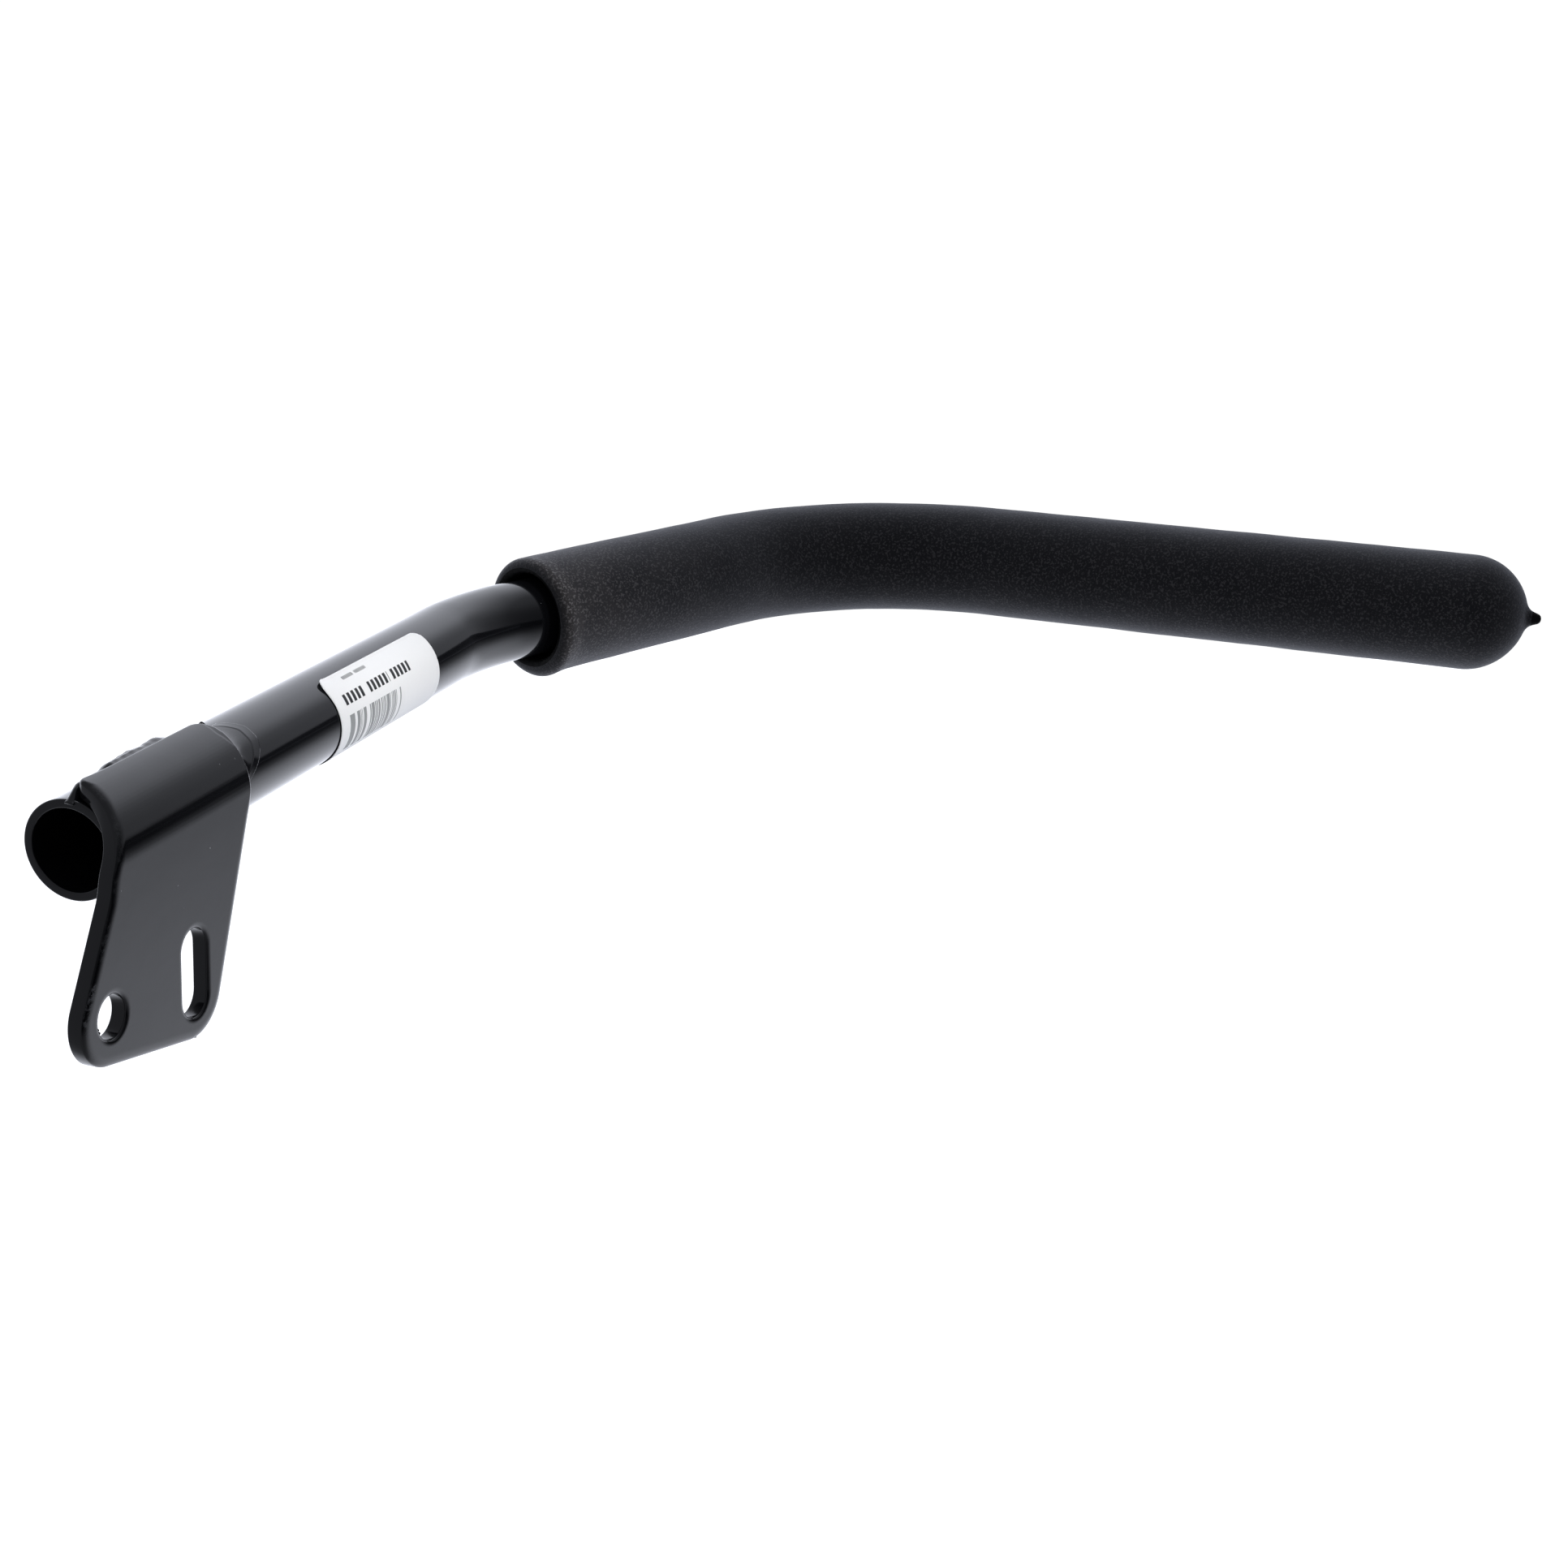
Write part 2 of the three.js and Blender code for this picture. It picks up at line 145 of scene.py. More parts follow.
# Sticker
LABEL_X = 107.4 * MM
LABEL_LENGTH = 60.6 * MM
LABEL_TOP = math.radians(112.5)
LABEL_ARC = 34 * MM
LABEL_CORNER = 3.6 * MM
LABEL_RISE = 0.32 * MM
LABEL_THICK = 0.12 * MM
LABEL_LIFT = 0.95 * MM
# Its print, in mm across and down: left, right, top and bottom of the bars, and of each row its blocks' pitch
# and filled part, its top and bottom, and each group's left and right
PRINT_BARS = (5, 36, 13.2, 24.5)
BAR_PITCH = 0.34
BOLD_ROW = (2.35, 0.6, 7.1, 10.3, ((5, 16.8), (19.4, 31.3), (33.2, 44)))
SMALL_ROW = (0.86, 0.66, 2.2, 3.3, ((11.2, 17.2), (18.4, 24.6)))
PAPER = ((0.92, 0.925, 0.925), (0.96, 0.96, 0.955))
BAR_INK = (0.16, 0.17, 0.17)
SMALL_INK = (0.05, 0.05, 0.055)
BOLD_INK = (0.02, 0.02, 0.022)

tube_low, tube_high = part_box("handle_tube")
ORIGIN = Vector((tube_low[0] - TUBE_START, tube_high[1] - TUBE_R, (tube_low[2] + tube_high[2]) / 2))


# ---------------------------------------------------------------- camera, floor and light

CAMERA_AT = Vector((-417.3, -311.9, 189.3)) * MM
CAMERA_FORWARD = Vector((0.89984, 0.28958, -0.32623))
CAMERA_ROLL = math.radians(0.84)
CAMERA_LENS = 50.96
FLOOR_DROP = 1.0
FLOOR_R = 4
FLOOR_CENTRE = (0.2, -0.1)
RIGHT = (0.306, -0.952, 0)
STUDIO_TINT = (0.945, 0.975, 1.075)
BACKDROP_LEVEL = 1.05
# Light level against the cosine between a direction and, in turn, the camera's forward way and straight up
BACK_WALL = ((-1, 0.24), (-0.2, 0.25), (0.1, 0.38), (0.3, 0.85), (0.43, 1.2), (0.52, 1.38), (0.63, 1.5),
             (0.75, 1.45), (0.9, 1.55), (1, 1.7))
SIDE_WALL = ((-0.5, 0.85), (-0.4, 0.7), (-0.31, 0.42), (-0.225, 0.16), (-0.12, 0.02), (0.02, 0.0),
             (0.08, 0.28), (0.25, 0.32), (0.4, 0.42), (0.5, 0.6), (0.6, 0.87), (0.68, 1))
SIDE_WALL_FROM = (0.3, 0.66)
LABEL_LAMP_AT = (0.12, -0.42, 0.3)
LABEL_LAMP_AIM = (0.137, 0, 0)
LABEL_LAMP_SIZE = (0.15, 0.15)
LABEL_LAMP_SPREAD = 24
LABEL_LAMP_POWER = 0.06


def add_camera():
    data = bpy.data.cameras.new("camera")
    data.sensor_width = 36
    data.lens = CAMERA_LENS
    data.clip_start = 0.01
    camera = bpy.data.objects.new("camera", data)
    bpy.context.scene.collection.objects.link(camera)
    turn = CAMERA_FORWARD.to_track_quat("-Z", "Y").to_matrix().to_4x4()
    roll = Matrix.Rotation(CAMERA_ROLL, 4, "Z")
    camera.matrix_world = Matrix.Translation(CAMERA_AT + ORIGIN) @ turn @ roll
    bpy.context.scene.camera = camera


def add_floor():
    """A pale floor well below the object. It only shows to the camera, and lights nothing."""
    bm = bmesh.new()
    bmesh.ops.create_circle(bm, cap_ends=True, radius=FLOOR_R, segments=96)
    mesh = bpy.data.meshes.new("floor")
    bm.to_mesh(mesh)
    bm.free()
    floor = bpy.data.objects.new("floor", mesh)
    floor.location = (*FLOOR_CENTRE, cad_box[0][2] - FLOOR_DROP)
    bpy.context.scene.collection.objects.link(floor)
    material, nodes, links, shader = new_material("floor_white")
    shader.inputs["Base Color"].default_value = (0.93, 0.93, 0.93, 1)
    shader.inputs["Roughness"].default_value = 0.9
    shader.inputs["Emission Color"].default_value = (1, 1, 1, 1)
    shader.inputs["Emission Strength"].default_value = 0.9
    mesh.materials.append(material)
    floor.visible_diffuse = False
    floor.visible_glossy = False
    floor.visible_shadow = False


def dot_node(nodes, links, vector, direction):
    node = nodes.new("ShaderNodeVectorMath")
    node.operation = "DOT_PRODUCT"
    links.new(vector, node.inputs[0])
    node.inputs[1].default_value = direction
    return node.outputs["Value"]


def level_ramp(nodes, links, value, stops, tint=(1, 1, 1)):
    """Tinted brightness against a value from -1 to 1."""
    ramp = nodes.new("ShaderNodeValToRGB")
    set_ramp(ramp, [((at + 1) / 2, tuple(level * channel for channel in tint)) for at, level in stops])
    links.new(math_node(nodes, links, "MULTIPLY_ADD", value, 0.5, 0.5), ramp.inputs["Fac"])
    return ramp.outputs["Color"]


def add_world():
    """A white cyclorama behind the object, a dark room on the camera's side, and on the right a grey side
    wall with a black gap under it, which the paint mirrors as a dark line."""
    world = bpy.data.worlds.new("studio")
    bpy.context.scene.world = world
    world.use_nodes = True
    nodes, links = world.node_tree.nodes, world.node_tree.links
    nodes.clear()
    way = nodes.new("ShaderNodeTexCoord").outputs["Generated"]
    behind = dot_node(nodes, links, way, tuple(CAMERA_FORWARD))
    right = dot_node(nodes, links, way, RIGHT)
    upward = dot_node(nodes, links, way, (0, 0, 1))
    wall = level_ramp(nodes, links, behind, BACK_WALL, STUDIO_TINT)
    side = level_ramp(nodes, links, upward, SIDE_WALL)
    on_right = remap(nodes, links, right, *SIDE_WALL_FROM, 0, 1)
    shade = mix_colour(nodes, links, on_right, (1.0, 1.0, 1.0), side)
    light = nodes.new("ShaderNodeBackground")
    links.new(mix_colour(nodes, links, 1.0, wall, shade, "MULTIPLY"), light.inputs["Color"])
    backdrop = nodes.new("ShaderNodeBackground")
    backdrop.inputs["Color"].default_value = (1, 1, 1, 1)
    backdrop.inputs["Strength"].default_value = BACKDROP_LEVEL
    seen = nodes.new("ShaderNodeLightPath")
    mix = nodes.new("ShaderNodeMixShader")
    links.new(seen.outputs["Is Camera Ray"], mix.inputs["Fac"])
    links.new(light.outputs[0], mix.inputs[1])
    links.new(backdrop.outputs[0], mix.inputs[2])
    output = nodes.new("ShaderNodeOutputWorld")
    links.new(mix.outputs[0], output.inputs["Surface"])


def add_softbox(name, at, aim, size, spread, power):
    """A soft lamp that the paint doesn't mirror. spread narrows its beam, in degrees."""
    data = bpy.data.lights.new(name, "AREA")
    data.spread = math.radians(spread)
    data.shape = "RECTANGLE"
    data.size, data.size_y = size
    data.energy = power
    light = bpy.data.objects.new(name, data)
    light.visible_glossy = False
    bpy.context.scene.collection.objects.link(light)
    at, aim = Vector(at) + ORIGIN, Vector(aim) + ORIGIN
    light.matrix_world = Matrix.Translation(at) @ (aim - at).to_track_quat("-Z", "Y").to_matrix().to_4x4()


# ---------------------------------------------------------------- node helpers

def new_material(name):
    material = bpy.data.materials.new(name)
    material.use_nodes = True
    nodes, links = material.node_tree.nodes, material.node_tree.links
    return material, nodes, links, nodes["Principled BSDF"]


def set_ramp(ramp, stops, interpolation="LINEAR"):
    elements = ramp.color_ramp.elements
    ramp.color_ramp.interpolation = interpolation
    while len(elements) > 1:
        elements.remove(elements[-1])
    elements[0].position = stops[0][0]
    elements[0].color = (*stops[0][1], 1)
    for at, colour in stops[1:]:
        elements.new(at).color = (*colour, 1)


def math_node(nodes, links, operation, *values):
    node = nodes.new("ShaderNodeMath")
    node.operation = operation
    for socket, value in zip(node.inputs, values):
        if isinstance(value, (int, float)):
            socket.default_value = value
        else:
            links.new(value, socket)
    return node.outputs[0]


def noise_node(nodes, links, vector, scale, detail=2, roughness=0.5):
    node = nodes.new("ShaderNodeTexNoise")
    node.inputs["Scale"].default_value = scale
    node.inputs["Detail"].default_value = detail
    node.inputs["Roughness"].default_value = roughness
    links.new(vector, node.inputs["Vector"])
    return node.outputs["Fac"]


def mix_colour(nodes, links, factor, first, second, blend="MIX"):
    node = nodes.new("ShaderNodeMix")
    node.data_type = "RGBA"
    node.blend_type = blend
    for value, socket in ((factor, node.inputs[0]), (first, node.inputs[6]), (second, node.inputs[7])):
        if isinstance(value, (int, float)):
            socket.default_value = value
        elif isinstance(value, tuple):
            socket.default_value = (*value, 1)
        else:
            links.new(value, socket)
    return node.outputs[2]


def remap(nodes, links, value, low, high, to_low, to_high):
    node = nodes.new("ShaderNodeMapRange")
    node.interpolation_type = "SMOOTHSTEP"
    links.new(value, node.inputs["Value"])
    for name, number in (("From Min", low), ("From Max", high), ("To Min", to_low), ("To Max", to_high)):
        node.inputs[name].default_value = number
    return node.outputs["Result"]


def bump(nodes, links, shader, height, strength, distance, before=None):
    node = nodes.new("ShaderNodeBump")
    node.inputs["Strength"].default_value = strength
    node.inputs["Distance"].default_value = distance
    links.new(height, node.inputs["Height"])
    if before is not None:
        links.new(before, node.inputs["Normal"])
    links.new(node.outputs["Normal"], shader.inputs["Normal"])
    return node.outputs["Normal"]


def object_position(nodes):
    return nodes.new("ShaderNodeTexCoord").outputs["Object"]


def attribute(nodes, name):
    node = nodes.new("ShaderNodeAttribute")
    node.attribute_name = name
    return node.outputs["Fac"]


# ---------------------------------------------------------------- materials

PAINT = (0.0045, 0.0047, 0.0058)
# Pale edge colour: part rubbed-through paint, part painted highlight
PAINT_WORN_AND_HIGHLIGHT = (0.19, 0.19, 0.2)
DUST = (0.5, 0.5, 0.52)
FOAM_DARK = (0.006, 0.0065, 0.009)
FOAM_PALER = (0.011, 0.011, 0.0135)
# Pale warm grey, part dust and part painted sheen
FOAM_DUST_AND_SHEEN = (0.048, 0.044, 0.044)
FOAM_FLECK = (0.24, 0.23, 0.232)
# Painted shade deep in the mouth; the sprue's own darker tone blends towards it too
FOAM_SHADE_AND_SPRUE_TONE = (0.002, 0.002, 0.0025)
NUB_SHADE = 0.005
# Painted shade: how dark the foam inside the mouth is made
MOUTH_SHADE = 0.0015


def dust_specks(nodes, links, position, spacing, radius):
    """Up to 1 on small specks about spacing apart, some fainter than others, and 0 elsewhere."""
    cells = nodes.new("ShaderNodeTexVoronoi")
    cells.inputs["Scale"].default_value = 1 / spacing
    links.new(position, cells.inputs["Vector"])
    spot = remap(nodes, links, cells.outputs["Distance"], 0.5 * radius / spacing, radius / spacing, 1, 0)
    faint = remap(nodes, links, cells.outputs["Color"], 0.3, 1, 0, 1)
    return math_node(nodes, links, "MULTIPLY", spot, faint)


def paint_material(name, roughness, orange_peel, speck_spacing, speck_radius=0.16 * MM):
    """Glossy black powder coat: faint orange peel, patchy gloss, dusty specks, and a pale line on the edges
    that is part rubbed paint and part painted highlight.
    """
    material, nodes, links, shader = new_material(name)
    position = object_position(nodes)
    patches = noise_node(nodes, links, position, 60, 3)
    specks = dust_specks(nodes, links, position, speck_spacing, speck_radius)
    scuffs = noise_node(nodes, links, position, 900, 4, 0.7)
    streaks = noise_node(nodes, links, position, 110, 2)
    streaky = remap(nodes, links, streaks, 0.44, 0.56, 0, 1)
    # Pale edges, part rubbed paint and part painted highlight, broken up into streaks and scuffs
    worn_and_highlit = math_node(nodes, links, "MULTIPLY", attribute(nodes, "edge_wear_and_highlight"), streaky)
    wear_and_highlight = math_node(nodes, links, "MULTIPLY", worn_and_highlit, remap(nodes, links, scuffs, 0.42, 0.62, 0, 1))
    tint = mix_colour(nodes, links, patches, PAINT, tuple(1.45 * channel for channel in PAINT))
    dusty = mix_colour(nodes, links, specks, tint, DUST)
    links.new(mix_colour(nodes, links, wear_and_highlight, dusty, PAINT_WORN_AND_HIGHLIGHT), shader.inputs["Base Color"])
    gloss = remap(nodes, links, patches, 0.3, 0.7, roughness * 0.85, roughness * 1.2)
    rough_wear = math_node(nodes, links, "MULTIPLY_ADD", wear_and_highlight, 0.35, gloss)
    links.new(math_node(nodes, links, "MULTIPLY_ADD", specks, 0.4, rough_wear), shader.inputs["Roughness"])
    shader.inputs["IOR"].default_value = 1.56
    peel = noise_node(nodes, links, position, 420, 2)
    ripple = noise_node(nodes, links, position, 45, 2)
    grit = noise_node(nodes, links, position, 2400, 1)
    first = bump(nodes, links, shader, ripple, orange_peel, 0.25 * MM)
    second = bump(nodes, links, shader, peel, orange_peel, 0.02 * MM, first)
    bump(nodes, links, shader, grit, orange_peel, 0.004 * MM, second)
    return material


def foam_material():
    """Moulded closed-cell foam: matte charcoal skin with fine pores, pale flecks, and near the mouth a warm
    grey that is part dusty skin and part painted sheen. The dust_and_sheen attribute says how much of that
    grey a place has. The recess attribute gives the painted shade inside the mouth, and on the sprue its own
    darker tone."""
    material, nodes, links, shader = new_material("foam_skin")
    position = object_position(nodes)
    grain = noise_node(nodes, links, position, 1300, 2, 0.6)
    bloom = noise_node(nodes, links, position, 55, 4, 0.6)
    # Pale grey towards the mouth and on the lip, part dust and part painted sheen, carried on by patchy and
    # dusty
    dust_and_sheen = attribute(nodes, "dust_and_sheen")
    dark = mix_colour(nodes, links, bloom, FOAM_DARK, FOAM_PALER)
    patchy = math_node(nodes, links, "MULTIPLY", dust_and_sheen, remap(nodes, links, bloom, 0.3, 0.7, 0.45, 1.25))
    dusty = mix_colour(nodes, links, patchy, dark, FOAM_DUST_AND_SHEEN)
    speck = remap(nodes, links, grain, 0.52, 0.61, 0, 1)
    amount = math_node(nodes, links, "MULTIPLY_ADD", dust_and_sheen, 0.35, 0.2)
    flecks = math_node(nodes, links, "MULTIPLY", speck, amount)
    grainy = mix_colour(nodes, links, flecks, dusty, FOAM_FLECK)
    # Painted shade inside the mouth and on the lip, and the sprue's own darker tone
    shaded = mix_colour(nodes, links, attribute(nodes, "recess"), grainy, FOAM_SHADE_AND_SPRUE_TONE)
    links.new(shaded, shader.inputs["Base Color"])
    links.new(remap(nodes, links, grain, 0.3, 0.7, 0.82, 0.97), shader.inputs["Roughness"])
    shader.inputs["Specular IOR Level"].default_value = 0.2
    shader.inputs["Sheen Weight"].default_value = 0.5
    shader.inputs["Sheen Roughness"].default_value = 0.5
    shader.inputs["Sheen Tint"].default_value = (0.85, 0.87, 0.93, 1)
    dents = noise_node(nodes, links, position, 120, 2)
    first = bump(nodes, links, shader, dents, 0.35, 0.25 * MM)
    bump(nodes, links, shader, grain, 0.7, 0.18 * MM, first)
    return material


def smooth_foam_material(name, shade):
    """The same foam where it is darker and smoother: the moulding sprue at its end, whose darker tone is its
    own, and the inside of the mouth, whose darkness is painted shade.
    """
    material, nodes, links, shader = new_material(name)
    position = object_position(nodes)
    grain = noise_node(nodes, links, position, 900, 2)
    low, high = 0.6 * shade, 1.4 * shade
    colour = mix_colour(nodes, links, grain, (low, low, 1.1 * low), (high, high, 1.1 * high))
    links.new(colour, shader.inputs["Base Color"])
    links.new(remap(nodes, links, grain, 0.3, 0.7, 0.6, 0.75), shader.inputs["Roughness"])
    shader.inputs["Specular IOR Level"].default_value = 0.12
    bump(nodes, links, shader, grain, 0.3, 0.06 * MM)
    return material


# ---------------------------------------------------------------- shape helpers

def place(point):
    return point + ORIGIN


def centreline(length):
    """Point on the tube's centreline and its heading, at a length along it."""
    first = min(max((length - FIRST_STRAIGHT) / BEND_R, 0), FIRST_BEND)
    second = min(max((length - SECOND_START) / BEND_R, 0), SECOND_BEND)

    def ahead(angle):
        return Vector((math.cos(angle), -math.sin(angle), 0))

    def inward(angle):
        return Vector((-math.sin(angle), -math.cos(angle), 0))

    point = ahead(0) * min(length, FIRST_STRAIGHT)
    point += (inward(0) - inward(first)) * BEND_R
    point += ahead(FIRST_BEND) * min(max(length - FIRST_END, 0), SECOND_STRAIGHT)
    point += (inward(FIRST_BEND) - inward(FIRST_BEND + second)) * BEND_R
    point += ahead(FIRST_BEND + SECOND_BEND) * max(length - SECOND_END, 0)
    return point, first + second


def round_tube(length, radius, angle):
    """A point round the tube: angle 0 is the outside of the bends (+Y), 90 degrees is up (+Z)."""
    point, heading = centreline(length)
    side = Vector((math.sin(heading), math.cos(heading), 0))
    return point + side * (radius * math.cos(angle)) + Vector((0, 0, radius * math.sin(angle)))


def stations(start, end, straight_step, bend_step):
    """Lengths from start to end, closer together in the bends."""
    lengths = [start]
    while lengths[-1] < end - 1e-9:
        here = lengths[-1]
        bent = FIRST_STRAIGHT - 6 * MM < here < FIRST_END + 6 * MM or SECOND_START < here < SECOND_END
        lengths.append(min(here + (bend_step if bent else straight_step), end))
    return lengths


def add_piece(name, bm, material, slot, *nodes):
    bmesh.ops.recalc_face_normals(bm, faces=bm.faces)
    mesh = bpy.data.meshes.new(name)
    for vertex in bm.verts:
        vertex.co = place(vertex.co)
    for face in bm.faces:
        face.smooth = True
    bm.to_mesh(mesh)
    bm.free()
    mesh.materials.append(material)
    piece = bpy.data.objects.new(name, mesh)
    bpy.context.scene.collection.objects.link(piece)
    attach(piece, "root")
    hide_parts(*nodes)
    return piece


def skin(bm, rings, closed_round=True, closed_along=False):
    """Quads between neighbouring rings of vertices."""
    count = len(rings[0])
    pairs = list(zip(rings, rings[1:]))
    if closed_along:
        pairs.append((rings[-1], rings[0]))
    for near, far in pairs:
        for i in range(count if closed_round else count - 1):
            j = (i + 1) % count
            bm.faces.new((near[i], near[j], far[j], far[i]))


def sweep(bm, profile, sides, shape):
    """A body of revolution bent along the tube. profile is a list of (length, radius), and a radius of 0
    closes it to a point. shape(length, radius, angle) gives the radius there after its small unevenness."""
    rings = []
    for length, radius in profile:
        if radius == 0:
            rings.append([bm.verts.new(round_tube(length, 0, 0))])
            continue
        angles = [2 * math.pi * i / sides for i in range(sides)]
        rings.append([bm.verts.new(round_tube(length, shape(length, radius, a), a)) for a in angles])
    for near, far in zip(rings, rings[1:]):
        if len(near) == 1 or len(far) == 1:
            point, ring = (near[0], far) if len(near) == 1 else (far[0], near)
            for i in range(sides):
                bm.faces.new((point, ring[i], ring[(i + 1) % sides]))
        else:
            skin(bm, [near, far])
    return rings


def arc_profile(centre_length, centre_radius, radius, start, end, steps):
    """Points (length, radius) on an arc; 0 points along the tube and 90 degrees outwards."""
    points = []
    for i in range(steps + 1):
        angle = start + (end - start) * i / steps
        points.append((centre_length + radius * math.cos(angle), centre_radius + radius * math.sin(angle)))
    return points


# ---------------------------------------------------------------- tube

def bend_squash(length, radius, angle):
    """The bends make the tube slightly oval, and the first one leaves a flat on its inside. The saw cut
    and the thick paint on it flare the open end."""
    oval = 0
    for start, end, depth in ((FIRST_STRAIGHT, FIRST_END, 0.26 * MM), (SECOND_START, SECOND_END, 0.3 * MM)):
        ease = 14 * MM
        inside = min((length - start) / ease + 0.5, (end - length) / ease + 0.5)
        oval += depth * min(max(inside, 0), 1)
    squash = -oval * math.cos(2 * angle)
    along = (length - FIRST_STRAIGHT - 7 * MM) / (9 * MM)
    round_inside = (math.cos(angle - math.radians(176)) - 0.62) / 0.38
    flat = 0.2 * MM * math.exp(-along * along) * max(round_inside, 0) ** 1.5
    if radius > TUBE_R - TUBE_WALL / 2:
        squash += 0.3 * MM * math.exp(-((length - TUBE_START) / (1.5 * MM)) ** 2)
    return radius + squash - flat


def add_tube(material):
    bm = bmesh.new()
    inner = TUBE_R - TUBE_WALL
    lip = TUBE_EDGE
    bore_lip = TUBE_BORE_EDGE
    front = arc_profile(TUBE_START + lip, TUBE_R - lip, lip, math.pi, math.pi / 2, 6)
    front_inner = arc_profile(TUBE_START + bore_lip, inner + bore_lip, bore_lip, math.pi, 3 * math.pi / 2, 5)
    skin_lengths = stations(2 * MM, TUBE_END - MM, 9 * MM, 1.6 * MM)
    outer = [(length, TUBE_R) for length in skin_lengths]
    bore = [(length, inner) for length in reversed(skin_lengths)]
    profile = front + outer + [(TUBE_END, TUBE_R - lip), (TUBE_END, inner)] + bore + front_inner[::-1]
    rings = sweep(bm, profile, TUBE_SIDES, bend_squash)
    skin(bm, [rings[-1], rings[0]])
    return add_piece("tube_painted", bm, material, "tube_paint", "handle_tube")


# ---------------------------------------------------------------- bracket

def leaning_x(edge, height):
    x, z, lean = edge
    return x + lean * (height - z)


def meet_bottom(edge):
    """Where a leaning edge meets the bottom edge."""
    x, z, lean = edge
    bottom_x, bottom_z, slope = BOTTOM_EDGE
    height = (bottom_z + slope * (x - lean * z - bottom_x)) / (1 - slope * lean)
    return Vector((leaning_x(edge, height), height))


def round_corner(before, at, after, radius, steps):
    """Points of the arc that rounds a corner, touching both of its sides."""
    back = (before - at).normalized()
    ahead = (after - at).normalized()
    half = math.acos(max(min(back.dot(ahead), 1), -1)) / 2
    start = at + back * (radius / math.tan(half))
    end = at + ahead * (radius / math.tan(half))
    centre = at + (back + ahead).normalized() * (radius / math.sin(half))
    first = (start - centre).to_3d()
    turn = first.xy.angle_signed((end - centre).xy)
    return [centre + Matrix.Rotation(-turn * i / steps, 2) @ first.xy for i in range(steps + 1)]


def hook_height(run):
    """Height of a point on the sheet's middle, from how far it lies along the sheet past the bend line."""
    return HOOK_MID * math.sin(run / HOOK_MID) if run > 0 else run


def front_x(run):
    """The front edge: straight on the flat, then standing forward where the sheet curls."""
    if run > 0:
        return FRONT_EDGE[0] - FRONT_SWELL + 0.558 * run - 5.66 * run * run
    rise = min(max(run / (8 * MM) + 1, 0), 1)
    return leaning_x(FRONT_EDGE, run) - FRONT_SWELL * rise * rise * (3 - 2 * rise)


def end_run(x):
    """How far along the sheet its end edge lies. It reaches further at the front, in a low horn."""
    near_front = min(max((14 * MM - x) / (12 * MM), 0), 1.1)
    return HOOK_TOP + HORN_RISE * near_front ** 2


def blank_outline():
    """Outline of the flat blank, as (x, distance along the sheet from the bend line), anticlockwise."""
    runs = [HOOK_TOP * i / HOOK_STEPS for i in range(HOOK_STEPS + 1)]
    tallest = end_run(front_x(HOOK_TOP))
    front_runs = [tallest * i / HOOK_STEPS for i in range(HOOK_STEPS - HORN_STEPS, -FLAT_STEPS, -1)]
    front = [Vector((front_x(run), run)) for run in front_runs]
    horn = Vector((front_x(tallest), tallest))
    rim = [Vector((leaning_x(RIM_EDGE, hook_height(run)), run)) for run in runs[1:]]
    bottom_front = meet_bottom(FRONT_EDGE)
    bottom_rear = meet_bottom(REAR_EDGE)
    knee = Vector((leaning_x(REAR_EDGE, RIM_EDGE[1]), RIM_EDGE[1]))
    points = front
    points += round_corner(front[-1], bottom_front, bottom_rear, FRONT_CORNER_R, 24)
    points += round_corner(bottom_front, bottom_rear, knee, REAR_CORNER_R, 18)
    points += round_corner(bottom_rear, knee, rim[0], KNEE_R, 10)
    below_corner = [point for point in rim if point.y < HOOK_TOP - 1.1 * HOOK_CORNER_R]
    end = [Vector((x * MM, end_run(x * MM))) for x in END_POINTS]
    corner = round_corner(rim[0], rim[-1], end[1], HOOK_CORNER_R, 9)
    return points + below_corner + corner + end + round_corner(end[-1], horn, front[0], HORN_R, 8)


def stadium(centre, direction, half_straight, radius, steps):
    """Outline of a round-ended slot, or of a circle where half_straight is 0, clockwise."""
    points = []
    rise = Vector((-direction.y, direction.x)) * half_straight
    for end, start_angle in ((rise, math.pi), (-rise, 0)):
        for i in range(steps + 1):
            angle = start_angle - math.pi * i / steps + math.atan2(direction.y, direction.x)
            points.append(Vector(centre) + end + Vector((math.cos(angle), math.sin(angle))) * radius)
    if half_straight == 0:
        points = points[:steps] + points[steps + 1:-1]
    return points


def inset(points, amounts):
    """The outline moved towards the material, each point by its own amount, mitred at the corners."""
    moved = []
    count = len(points)
    for i, (point, amount) in enumerate(zip(points, amounts)):
        before = (point - points[i - 1]).normalized()
        after = (points[(i + 1) % count] - point).normalized()
        along = (before + after).normalized()
        left = Vector((-along.y, along.x))
        stretch = max(along.dot(after), 0.35)
        moved.append(point + left * (amount / stretch))
    return moved


def edge_profile(worn_and_highlit):
    """Loops that round the sheet's cut edge, as (outer, inset, depth below the outer face, pale edge colour).
    The outer ones are fractions of the roll's width and fall, and the inner ones are lengths. The pale edge
    colour is part rubbed paint and part painted highlight."""
    steps = 9
    loops = [(True, 1.15, 0, 0)]
    for i in range(steps + 1):
        angle = math.pi / 2 * i / steps
        # The pale edge colour, part rubbing and part painted highlight, is strongest partway round the
        # rounding
        wear_and_highlight = worn_and_highlit * max(1 - abs(2.6 * i / steps - 1.1), 0)
        loops.append((True, 1 - math.sin(angle), 1 - math.cos(angle), wear_and_highlight))
    for i in range(steps + 1):
        angle = math.pi / 2 * i / steps
        depth = SHEET - INNER_ROUND * (1 - math.sin(angle))
        loops.append((False, INNER_ROUND * (1 - math.cos(angle)), depth, 0))
    loops.append((False, INNER_ROUND + 0.35 * MM, SHEET, 0))
    return loops


